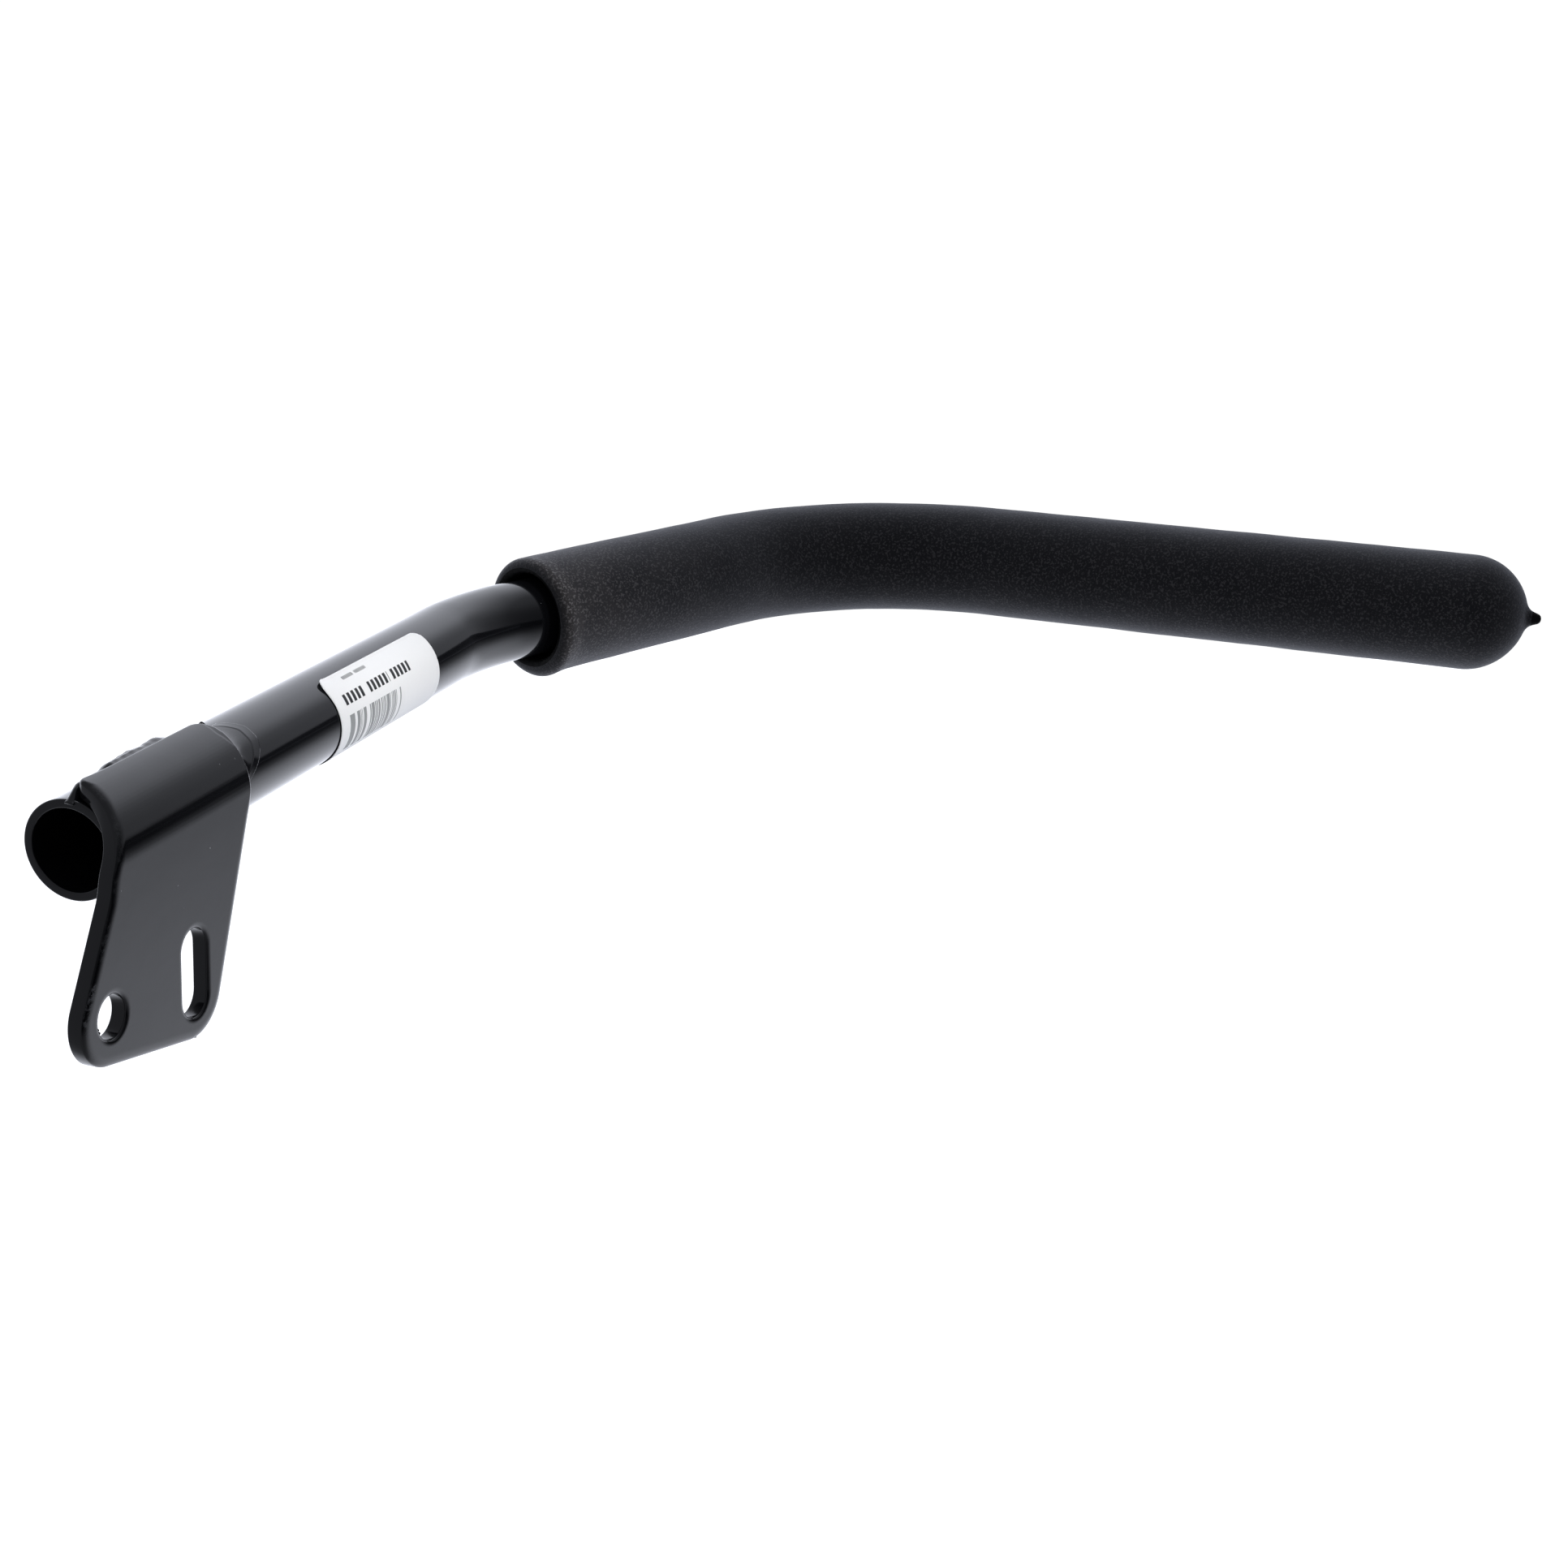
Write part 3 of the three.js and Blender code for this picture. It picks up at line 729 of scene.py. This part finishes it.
def roll_at(x, run, roll):
    """Width and fall of the outer rounding: the roll given, but RIM_ROLL along the rear rim and the end."""
    behind = min(max((x - 44 * MM) / (5 * MM), 0), 1)
    above = min(max((run + 6 * MM) / (6 * MM), 0), 1)
    beside_end = min(max((run - HOOK_TOP + 3 * MM) / (2 * MM), 0), 1)
    return Vector(roll).lerp(Vector(RIM_ROLL), max(behind * above, beside_end))


def wear_and_highlight_here(x, run):
    """Pale edge colour, part rubbed paint and part painted highlight. It is strongest in one stretch of the
    plate's front edge above the bolt hole.
    """
    beside_front = x < leaning_x(FRONT_EDGE, run) + 2.5 * MM
    stretch = math.exp(-((run + 26.5 * MM) / (7 * MM)) ** 2)
    return stretch if beside_front and run < -8 * MM else 0.12


def hook_point(x, run, depth):
    """A point of the flat blank after bending: run is along the sheet, depth is below the outer face."""
    radius = HOOK_OUTER - depth
    if run <= 0:
        return Vector((x, -radius, run))
    angle = run / HOOK_MID
    return Vector((x, -radius * math.cos(angle), radius * math.sin(angle)))


def weld_lap(x, run, depth):
    """How far the paint stands up where weld metal laps onto the hook beside its rim. It is a shallow step
    down at the front of the lap, which comes back up towards the rim."""
    along = (run - 9.9 * MM) / (13.3 * MM)
    if depth > 0.5 * MM or not 0 < along < 1:
        return 0
    rim = leaning_x(RIM_EDGE, hook_height(run))
    width = 2.9 * MM * math.sin(math.pi * along) + 0.3 * MM * abs(math.sin(run / (1.1 * MM)))
    inside = (x - rim + width) / (0.5 * MM)
    recovery = min(max((x - rim + width) / width, 0), 1)
    return -0.1 * MM * min(max(inside, 0), 1) * (1 - recovery)


def cut_across(bm, normal, first, last, step):
    """Cuts every face that crosses a row of parallel planes."""
    at = first
    while at < last:
        geometry = bm.verts[:] + bm.edges[:] + bm.faces[:]
        bmesh.ops.bisect_plane(bm, geom=geometry, dist=1e-7, plane_co=normal * at, plane_no=normal)
        at += step


# Each has its x, its run and its depth below the outer face, and its radius
NIBS = ((20.4 * MM, -55.3 * MM, 1.6 * MM, 0.5 * MM), (-19.2 * MM, -35.9 * MM, 1.0 * MM, 0.4 * MM),
        (-18.8 * MM, -36.9 * MM, 1.1 * MM, 0.45 * MM))


def add_nib(bm, at, size):
    """A bead of paint left hanging on a cut edge."""
    made = bmesh.ops.create_icosphere(bm, subdivisions=2, radius=size)
    for vertex in made["verts"]:
        lump = 1 + 0.3 * noise.noise(vertex.co / (0.3 * MM) + Vector((at.x, 0, at.z)) * 1000)
        vertex.co = at + Vector((vertex.co.x, vertex.co.y * 1.3, vertex.co.z)) * lump


def add_bracket(material):
    bm = bmesh.new()
    # Per-vertex pale edge colour: part rubbed paint, part painted highlight
    wear_and_highlight_layer = bm.verts.layers.float.new("edge_wear_and_highlight")
    slot_way = (Vector(SLOT) - Vector(HOLE)).normalized()
    outlines = [
        (blank_outline(), EDGE_ROLL, 1),
        (stadium(HOLE, Vector((1, 0)), 0, HOLE_R, 24), HOLE_ROLL, 0.4),
        (stadium(SLOT, slot_way, SLOT_HALF_STRAIGHT, HOLE_R, 20), HOLE_ROLL, 0.4),
    ]
    rims = []
    for outline, roll, worn_and_highlit in outlines:
        rings = []
        rolls = [roll_at(*point, roll) for point in outline]
        for outer, across, down, wear_and_highlight in edge_profile(worn_and_highlit):
            scales = rolls if outer else [Vector((1, 1))] * len(outline)
            ring = []
            inner = inset(outline, [across * scale.x for scale in scales])
            for point, scale in zip(inner, scales):
                vertex = bm.verts.new((point.x, down * scale.y, point.y))
                vertex[wear_and_highlight_layer] = wear_and_highlight * wear_and_highlight_here(*point)
                ring.append(vertex)
            rings.append(ring)
        skin(bm, rings)
        rims.append((rings[0], rings[-1]))
    for side in (0, 1):
        loops = [rim[side] for rim in rims]
        flat = [vertex for loop in loops for vertex in loop]
        for triangle in tessellate_polygon([[vertex.co for vertex in loop] for loop in loops]):
            bm.faces.new([flat[i] for i in triangle])
    for x, run, depth, size in NIBS:
        add_nib(bm, Vector((x, depth, run)), size)
    cut_across(bm, Vector((0, 0, 1)), 0, HOOK_TOP + HORN_RISE, 0.9 * MM)
    cut_across(bm, Vector((1, 0, 0)), 48.5 * MM, 54.2 * MM, 0.3 * MM)
    for vertex in bm.verts:
        x, depth, run = vertex.co
        lap = weld_lap(x, run, depth)
        vertex.co = hook_point(x, run, depth - lap)
    return add_piece("bracket_painted", bm, material, "bracket_paint", "mounting_bracket")


# ---------------------------------------------------------------- welds

# Each has its place and length along the bead in mm, its place and breadth round the tube in degrees, and
# its height in mm
CREST_BUMPS = ((14, 91, 6, 5, 0.35), (25, 90, 6, 5, 0.9), (22.5, 91.5, 8, 1.8, -0.4),
               (35.2, 88.5, 4, 5, 0.9))
CREST_START = -1.3 * MM
CREST_END = 50 * MM
CREST_HEIGHT = 3.3 * MM
FILLET_FROM = math.radians(92)
FILLET_TO = math.radians(187)
FILLET_REACH = 12.9 * MM
FILLET_HEIGHT = 4.0 * MM


def crest_swell(x, angle):
    """Bumps on the crest bead: even ripples, a long double ridge and one fat blob."""
    degrees = math.degrees(angle)
    ripple = 0.045 * MM * math.sin(x / (0.55 * MM) + 0.4 * math.sin(degrees / 4))
    drift = 0.22 * MM * noise.noise(Vector((x / (11 * MM), 3.1, degrees / 12)))
    bumps = 0
    for at, around, length, breadth, height in CREST_BUMPS:
        bumps += height * MM * math.exp(-((x / MM - at) / length) ** 2 - ((degrees - around) / breadth) ** 2)
    return ripple + drift + bumps


def add_crest_weld(material):
    """Bead along the hook's end edge, from the sheet's outer corner down to the crest of the tube. It
    starts on the bare tube, just ahead of the hook's corner."""
    bm = bmesh.new()
    start, end, count, across = CREST_START, CREST_END, 150, 24
    rings = []
    for i in range(count + 1):
        x = start + (end - start) * i / count
        rise = min((x - start) / (7 * MM), (end - x) / (4 * MM), 1)
        taper = math.sin(math.pi / 2 * rise) ** 1.1
        beside_hook = min(max((x - 2.5 * MM) / (3.5 * MM), 0), 1)
        full = min(max((x - 12 * MM) / (4 * MM), 0), max((41 * MM - x) / (4 * MM), 0), 1)
        hook_side = HOOK_END + math.radians(1.2 + 2.5 * (1 - beside_hook))
        breadth = math.radians(15.5 + 1.6 * noise.noise(Vector((x / (4 * MM), 0, 7))))
        toe = HOOK_END - breadth * (0.45 + 0.55 * taper)
        ring = []
        for j in range(across + 1):
            part = j / across
            angle = hook_side + (toe - hook_side) * part
            against = (1 - part ** 3) * (1 + 0.33 * full)
            alone = math.sin(math.pi * part)
            form = alone + (against - alone) * beside_hook
            edge = min(1, 4 * part, 4 * (1 - part))
            height = (CREST_HEIGHT * form + crest_swell(x, angle) * edge) * taper
            ring.append(bm.verts.new(round_tube(x, TUBE_R - 0.05 * MM + height, angle)))
        ring.append(bm.verts.new(round_tube(x, TUBE_R - 0.5 * MM, toe)))
        ring.append(bm.verts.new(round_tube(x, TUBE_R - 0.5 * MM, hook_side)))
        rings.append(ring)
    skin(bm, rings)
    bm.faces.new(rings[0])
    bm.faces.new(rings[-1])
    return add_piece("crest_weld_bead", bm, material, "weld_paint", "crest_weld_seam")


TOE_SKIRT = 3.2 * MM


def toe_height(beyond):
    """Paint over the fillet's toe: a short steep step up at the toe, and a long gentle slope beyond it."""
    if beyond < 0:
        return 0.015 * MM + 0.085 * MM * max(1 + beyond / (0.5 * MM), 0)
    return 0.1 * MM * max(1 - beyond / TOE_SKIRT, 0) ** 2


def add_rim_weld(material):
    """Fillet from the hook's rear rim down to a thin soft toe on the tube."""
    bm = bmesh.new()
    first, last, count, across = FILLET_FROM, FILLET_TO, 100, 60
    rings = []
    for i in range(count + 1):
        along = i / count
        angle = first + (last - first) * along
        rim = leaning_x(RIM_EDGE, HOOK_MID * math.sin(angle)) - 0.3 * MM
        size = math.sin(math.pi / 2 * min(along / 0.1, (1 - along) / 0.12, 1))
        from_middle = (math.degrees(angle) - 131) / 60
        wander = 0.35 * MM * noise.noise(Vector((angle * 6, 1.7, 0)))
        reach = max(FILLET_REACH * (1 - from_middle ** 2) + wander, 1.5 * MM)
        rise = (FILLET_HEIGHT + 0.25 * MM * math.sin(angle * 26)) * size
        ring = []
        for j in range(across + 1):
            out = (reach + TOE_SKIRT) * j / across
            height = rise * max(1 - out / reach, 0) ** 4 + toe_height(out - reach) * size
            ring.append(bm.verts.new(round_tube(rim + out, TUBE_R + height, angle)))
        ring.append(bm.verts.new(round_tube(rim + reach + TOE_SKIRT, TUBE_R - 0.4 * MM, angle)))
        ring.append(bm.verts.new(round_tube(rim, TUBE_R - 0.4 * MM, angle)))
        rings.append(ring)
    skin(bm, rings)
    bm.faces.new(rings[0])
    bm.faces.new(rings[-1])
    return add_piece("rim_weld_bead", bm, material, "weld_paint", "rim_weld_fillet")


# ---------------------------------------------------------------- foam grip

def foam_unevenness(length, radius, angle):
    """Moulded foam is never quite round. The lip flares most underneath."""
    flare = 0
    past_mouth = length - GRIP_START
    if radius > MOUTH_R + 2.5 * MM and past_mouth < 12 * MM:
        bulge = math.exp(-((past_mouth - 3 * MM) / (3.6 * MM)) ** 2)
        flare = bulge * (0.32 * MM - 0.42 * MM * math.sin(angle))
    where = round_tube(length, radius, angle)
    soft = noise.noise(where / (16 * MM)) * 0.14 * MM
    fine = noise.noise(where / (3.5 * MM)) * 0.035 * MM
    return radius + flare + (soft + fine) * min(radius / GRIP_R, 1)


def grip_profile():
    """The grip's profile from the closed end of its bore, out at the mouth and back to the sprue, and how
    many of its points lie inside the mouth."""
    mouth_end = GRIP_START + MOUTH_DEPTH
    bore = [(length, GRIP_BORE) for length in reversed(stations(mouth_end, BORE_END, 9 * MM, 2.5 * MM))]
    recess = [(mouth_end - 0.5 * MM, MOUTH_R), (GRIP_START + 8 * MM, MOUTH_R), (GRIP_START + 4 * MM, MOUTH_R)]
    inner_lip = arc_profile(GRIP_START + MOUTH_LIP, MOUTH_R + MOUTH_LIP, MOUTH_LIP,
                            3 * math.pi / 2, math.pi, 7)
    outer_lip = arc_profile(GRIP_START + GRIP_LIP, GRIP_R - GRIP_LIP, GRIP_LIP, math.pi, math.pi / 2, 10)
    outside = [(length, GRIP_R) for length in
               stations(GRIP_START + GRIP_LIP + MM, TIP - DOME_LENGTH - MM, 2.2 * MM, 1.8 * MM)]
    dome = []
    for i in range(DOME_STEPS - 1):
        angle = math.pi / 2 * i / DOME_STEPS
        dome.append((TIP - DOME_LENGTH * (1 - math.sin(angle)), GRIP_R * math.cos(angle) ** DOME_POINT))
    dome = [point for point in dome if point[1] > SPRUE_FROM_R]
    sprue = [(TIP + x * MM, r * MM) for x, r in SPRUE]
    inside = [(BORE_END, 0)] + bore + recess
    return inside + inner_lip + outer_lip + outside + dome + sprue, len(inside)


def shade_grip(rings, inside_count, dust_and_sheen_layer, shade_and_sprue_tone_layer):
    """Sets each vertex's pale grey, part dusty skin and part painted sheen, its painted shade in the mouth,
    and the sprue's own darker tone.
    """
    for number, ring in enumerate(rings):
        for vertex in ring:
            # Paler towards the mouth: part dust, part painted sheen
            away = (vertex.co - round_tube(GRIP_START, 0, 0)).length
            vertex[dust_and_sheen_layer] = 0.1 + 0.5 * math.exp(-((away - 20 * MM) / (60 * MM)) ** 2)
            # Painted shade: full inside the mouth; the next loop fades it out over the lip
            vertex[shade_and_sprue_tone_layer] = 1 if number < inside_count else 0
    for shade, ring in zip(LIP_PAINTED_SHADE, rings[inside_count:]):
        for vertex in ring:
            vertex[shade_and_sprue_tone_layer] = shade
    # The lip's rounded corner and just past it: paler, part dust and part painted sheen
    for dust_and_sheen, ring in zip(LIP_DUST_AND_SHEEN, rings[inside_count + LIP_DUST_AND_SHEEN_FROM:]):
        for vertex in ring:
            vertex[dust_and_sheen_layer] = dust_and_sheen
    for number, ring in enumerate(rings[-len(SPRUE):]):
        for vertex in ring:
            vertex[shade_and_sprue_tone_layer] = SPRUE_SHADE * number / len(SPRUE)


def add_grip(skin_material, nub, mouth):
    bm = bmesh.new()
    dust_and_sheen_layer = bm.verts.layers.float.new("dust_and_sheen")
    shade_and_sprue_tone_layer = bm.verts.layers.float.new("recess")
    profile, inside_count = grip_profile()
    rings = sweep(bm, profile, GRIP_SIDES, foam_unevenness)
    shade_grip(rings, inside_count, dust_and_sheen_layer, shade_and_sprue_tone_layer)
    tip = round_tube(TIP, 0, 0)
    ahead = (round_tube(TIP + MM, 0, 0) - tip).normalized()
    for face in bm.faces:
        if (face.calc_center_median() - tip).dot(ahead) > SMOOTH_SPRUE_FROM:
            face.material_index = 1
        # Faces deep in the mouth take the foam with painted shade
        elif min(vertex[shade_and_sprue_tone_layer] for vertex in face.verts) > MOUTH_SHADE_MATERIAL_FROM:
            face.material_index = 2
    piece = add_piece("grip_foam", bm, skin_material, "foam", "foam_grip")
    piece.data.materials.append(nub)
    # mouth is the foam darkened with painted shade for the inside of the mouth
    piece.data.materials.append(mouth)
    return piece


# ---------------------------------------------------------------- sticker

def sticker_material():
    """Matte white label stock with greeked print: two rows of blocks and a block of uneven bars."""
    material, nodes, links, shader = new_material("label_print")
    uv = nodes.new("ShaderNodeUVMap")
    uv.uv_map = "print"
    split = nodes.new("ShaderNodeSeparateXYZ")
    links.new(uv.outputs["UV"], split.inputs[0])
    across, down = split.outputs["X"], split.outputs["Y"]

    def inside(value, low, high, soft=0.06):
        rise = remap(nodes, links, value, low - soft, low + soft, 0, 1)
        fall = remap(nodes, links, value, high - soft, high + soft, 1, 0)
        return math_node(nodes, links, "MULTIPLY", rise, fall)

    def rectangle(left, right, top, bottom):
        return math_node(nodes, links, "MULTIPLY", inside(across, left, right), inside(down, top, bottom))

    def cells(value, pitch, seed, threshold):
        """1 in a random choice of strips of the given pitch."""
        strip = math_node(nodes, links, "FLOOR", math_node(nodes, links, "DIVIDE", value, pitch))
        white = nodes.new("ShaderNodeTexWhiteNoise")
        white.noise_dimensions = "1D"
        links.new(math_node(nodes, links, "ADD", strip, seed), white.inputs["W"])
        return math_node(nodes, links, "GREATER_THAN", white.outputs["Value"], threshold)

    def blocks(pitch, fill, top, bottom, groups):
        """A row of solid blocks of one pitch, in groups, standing for a line of print."""
        joined = None
        for left, right in groups:
            phase = math_node(nodes, links, "FRACT", math_node(nodes, links, "DIVIDE", across, pitch))
            solid = inside(phase, (1 - fill) / 2, (1 + fill) / 2, 0.04)
            row = math_node(nodes, links, "MULTIPLY", solid, rectangle(left, right, top, bottom))
            joined = row if joined is None else math_node(nodes, links, "MAXIMUM", joined, row)
        return joined

    bars = math_node(nodes, links, "MULTIPLY", cells(across, BAR_PITCH, 11.5, 0.42), rectangle(*PRINT_BARS))
    position = object_position(nodes)
    fibre = noise_node(nodes, links, position, 1400, 3)
    print_colour = mix_colour(nodes, links, fibre, *PAPER)
    faint_bars = math_node(nodes, links, "MULTIPLY", bars, 0.8)
    faint_small = math_node(nodes, links, "MULTIPLY", blocks(*SMALL_ROW), 0.95)
    for mask, ink in ((faint_bars, BAR_INK), (faint_small, SMALL_INK), (blocks(*BOLD_ROW), BOLD_INK)):
        print_colour = mix_colour(nodes, links, mask, print_colour, ink)
    links.new(print_colour, shader.inputs["Base Color"])
    links.new(remap(nodes, links, fibre, 0.3, 0.7, 0.5, 0.62), shader.inputs["Roughness"])
    bump(nodes, links, shader, fibre, 0.15, 0.02 * MM)
    return material


def sticker_lift(across, down):
    """The front top corner and front edge have let go of the tube a little."""
    corner = math.hypot(across / (7 * MM), down / (6 * MM))
    return LABEL_LIFT * max(1 - corner, 0) ** 1.6


def add_sticker(material):
    bm = bmesh.new()
    uv_layer = bm.loops.layers.uv.new("print")
    columns, rows = 72, 56
    wrap_r = TUBE_R + LABEL_RISE
    sides = []
    spots = {}
    for rise in (0, -LABEL_THICK):
        grid = []
        for row in range(rows + 1):
            down = LABEL_ARC * (1 - math.cos(math.pi * row / rows)) / 2
            into = max(LABEL_CORNER - min(down, LABEL_ARC - down), 0)
            trim = LABEL_CORNER - math.sqrt(LABEL_CORNER ** 2 - into ** 2)
            line = []
            for column in range(columns + 1):
                across = trim + (LABEL_LENGTH - 2 * trim) * column / columns
                radius = wrap_r + rise + sticker_lift(across, down)
                vertex = bm.verts.new(round_tube(LABEL_X + across, radius, LABEL_TOP + down / wrap_r))
                spots[vertex] = (across / MM, down / MM)
                line.append(vertex)
            grid.append(line)
        skin(bm, grid, closed_round=False)
        sides.append(grid)
    front, back = sides
    for top, under in ((front[0], back[0]), (front[-1], back[-1])):
        skin(bm, [top, under], closed_round=False)
    for column in (0, -1):
        skin(bm, [[line[column] for line in front], [line[column] for line in back]], closed_round=False)
    for face in bm.faces:
        for loop in face.loops:
            loop[uv_layer].uv = spots[loop.vert]
    return add_piece("sticker_printed", bm, material, "label_paper", "sticker")


# ---------------------------------------------------------------- scene

bpy.context.scene.view_settings.view_transform = "Standard"
add_camera()
add_world()
add_floor()
add_softbox("label_softbox", LABEL_LAMP_AT, LABEL_LAMP_AIM, LABEL_LAMP_SIZE, LABEL_LAMP_SPREAD,
            LABEL_LAMP_POWER)

add_tube(paint_material("tube_gloss_black", 0.09, 0.12, 9 * MM))
add_bracket(paint_material("bracket_gloss_black", 0.12, 0.3, 6 * MM, 0.27 * MM))
weld_paint = paint_material("weld_gloss_black", 0.13, 0.4, 12 * MM)
add_crest_weld(weld_paint)
add_rim_weld(weld_paint)
foam_nub = smooth_foam_material("foam_nub", NUB_SHADE)
# The inside of the mouth: foam darkened with painted shade
foam_mouth_painted_shade = smooth_foam_material("foam_mouth_painted_shade", MOUTH_SHADE)
add_grip(foam_material(), foam_nub, foam_mouth_painted_shade)
add_sticker(sticker_material())
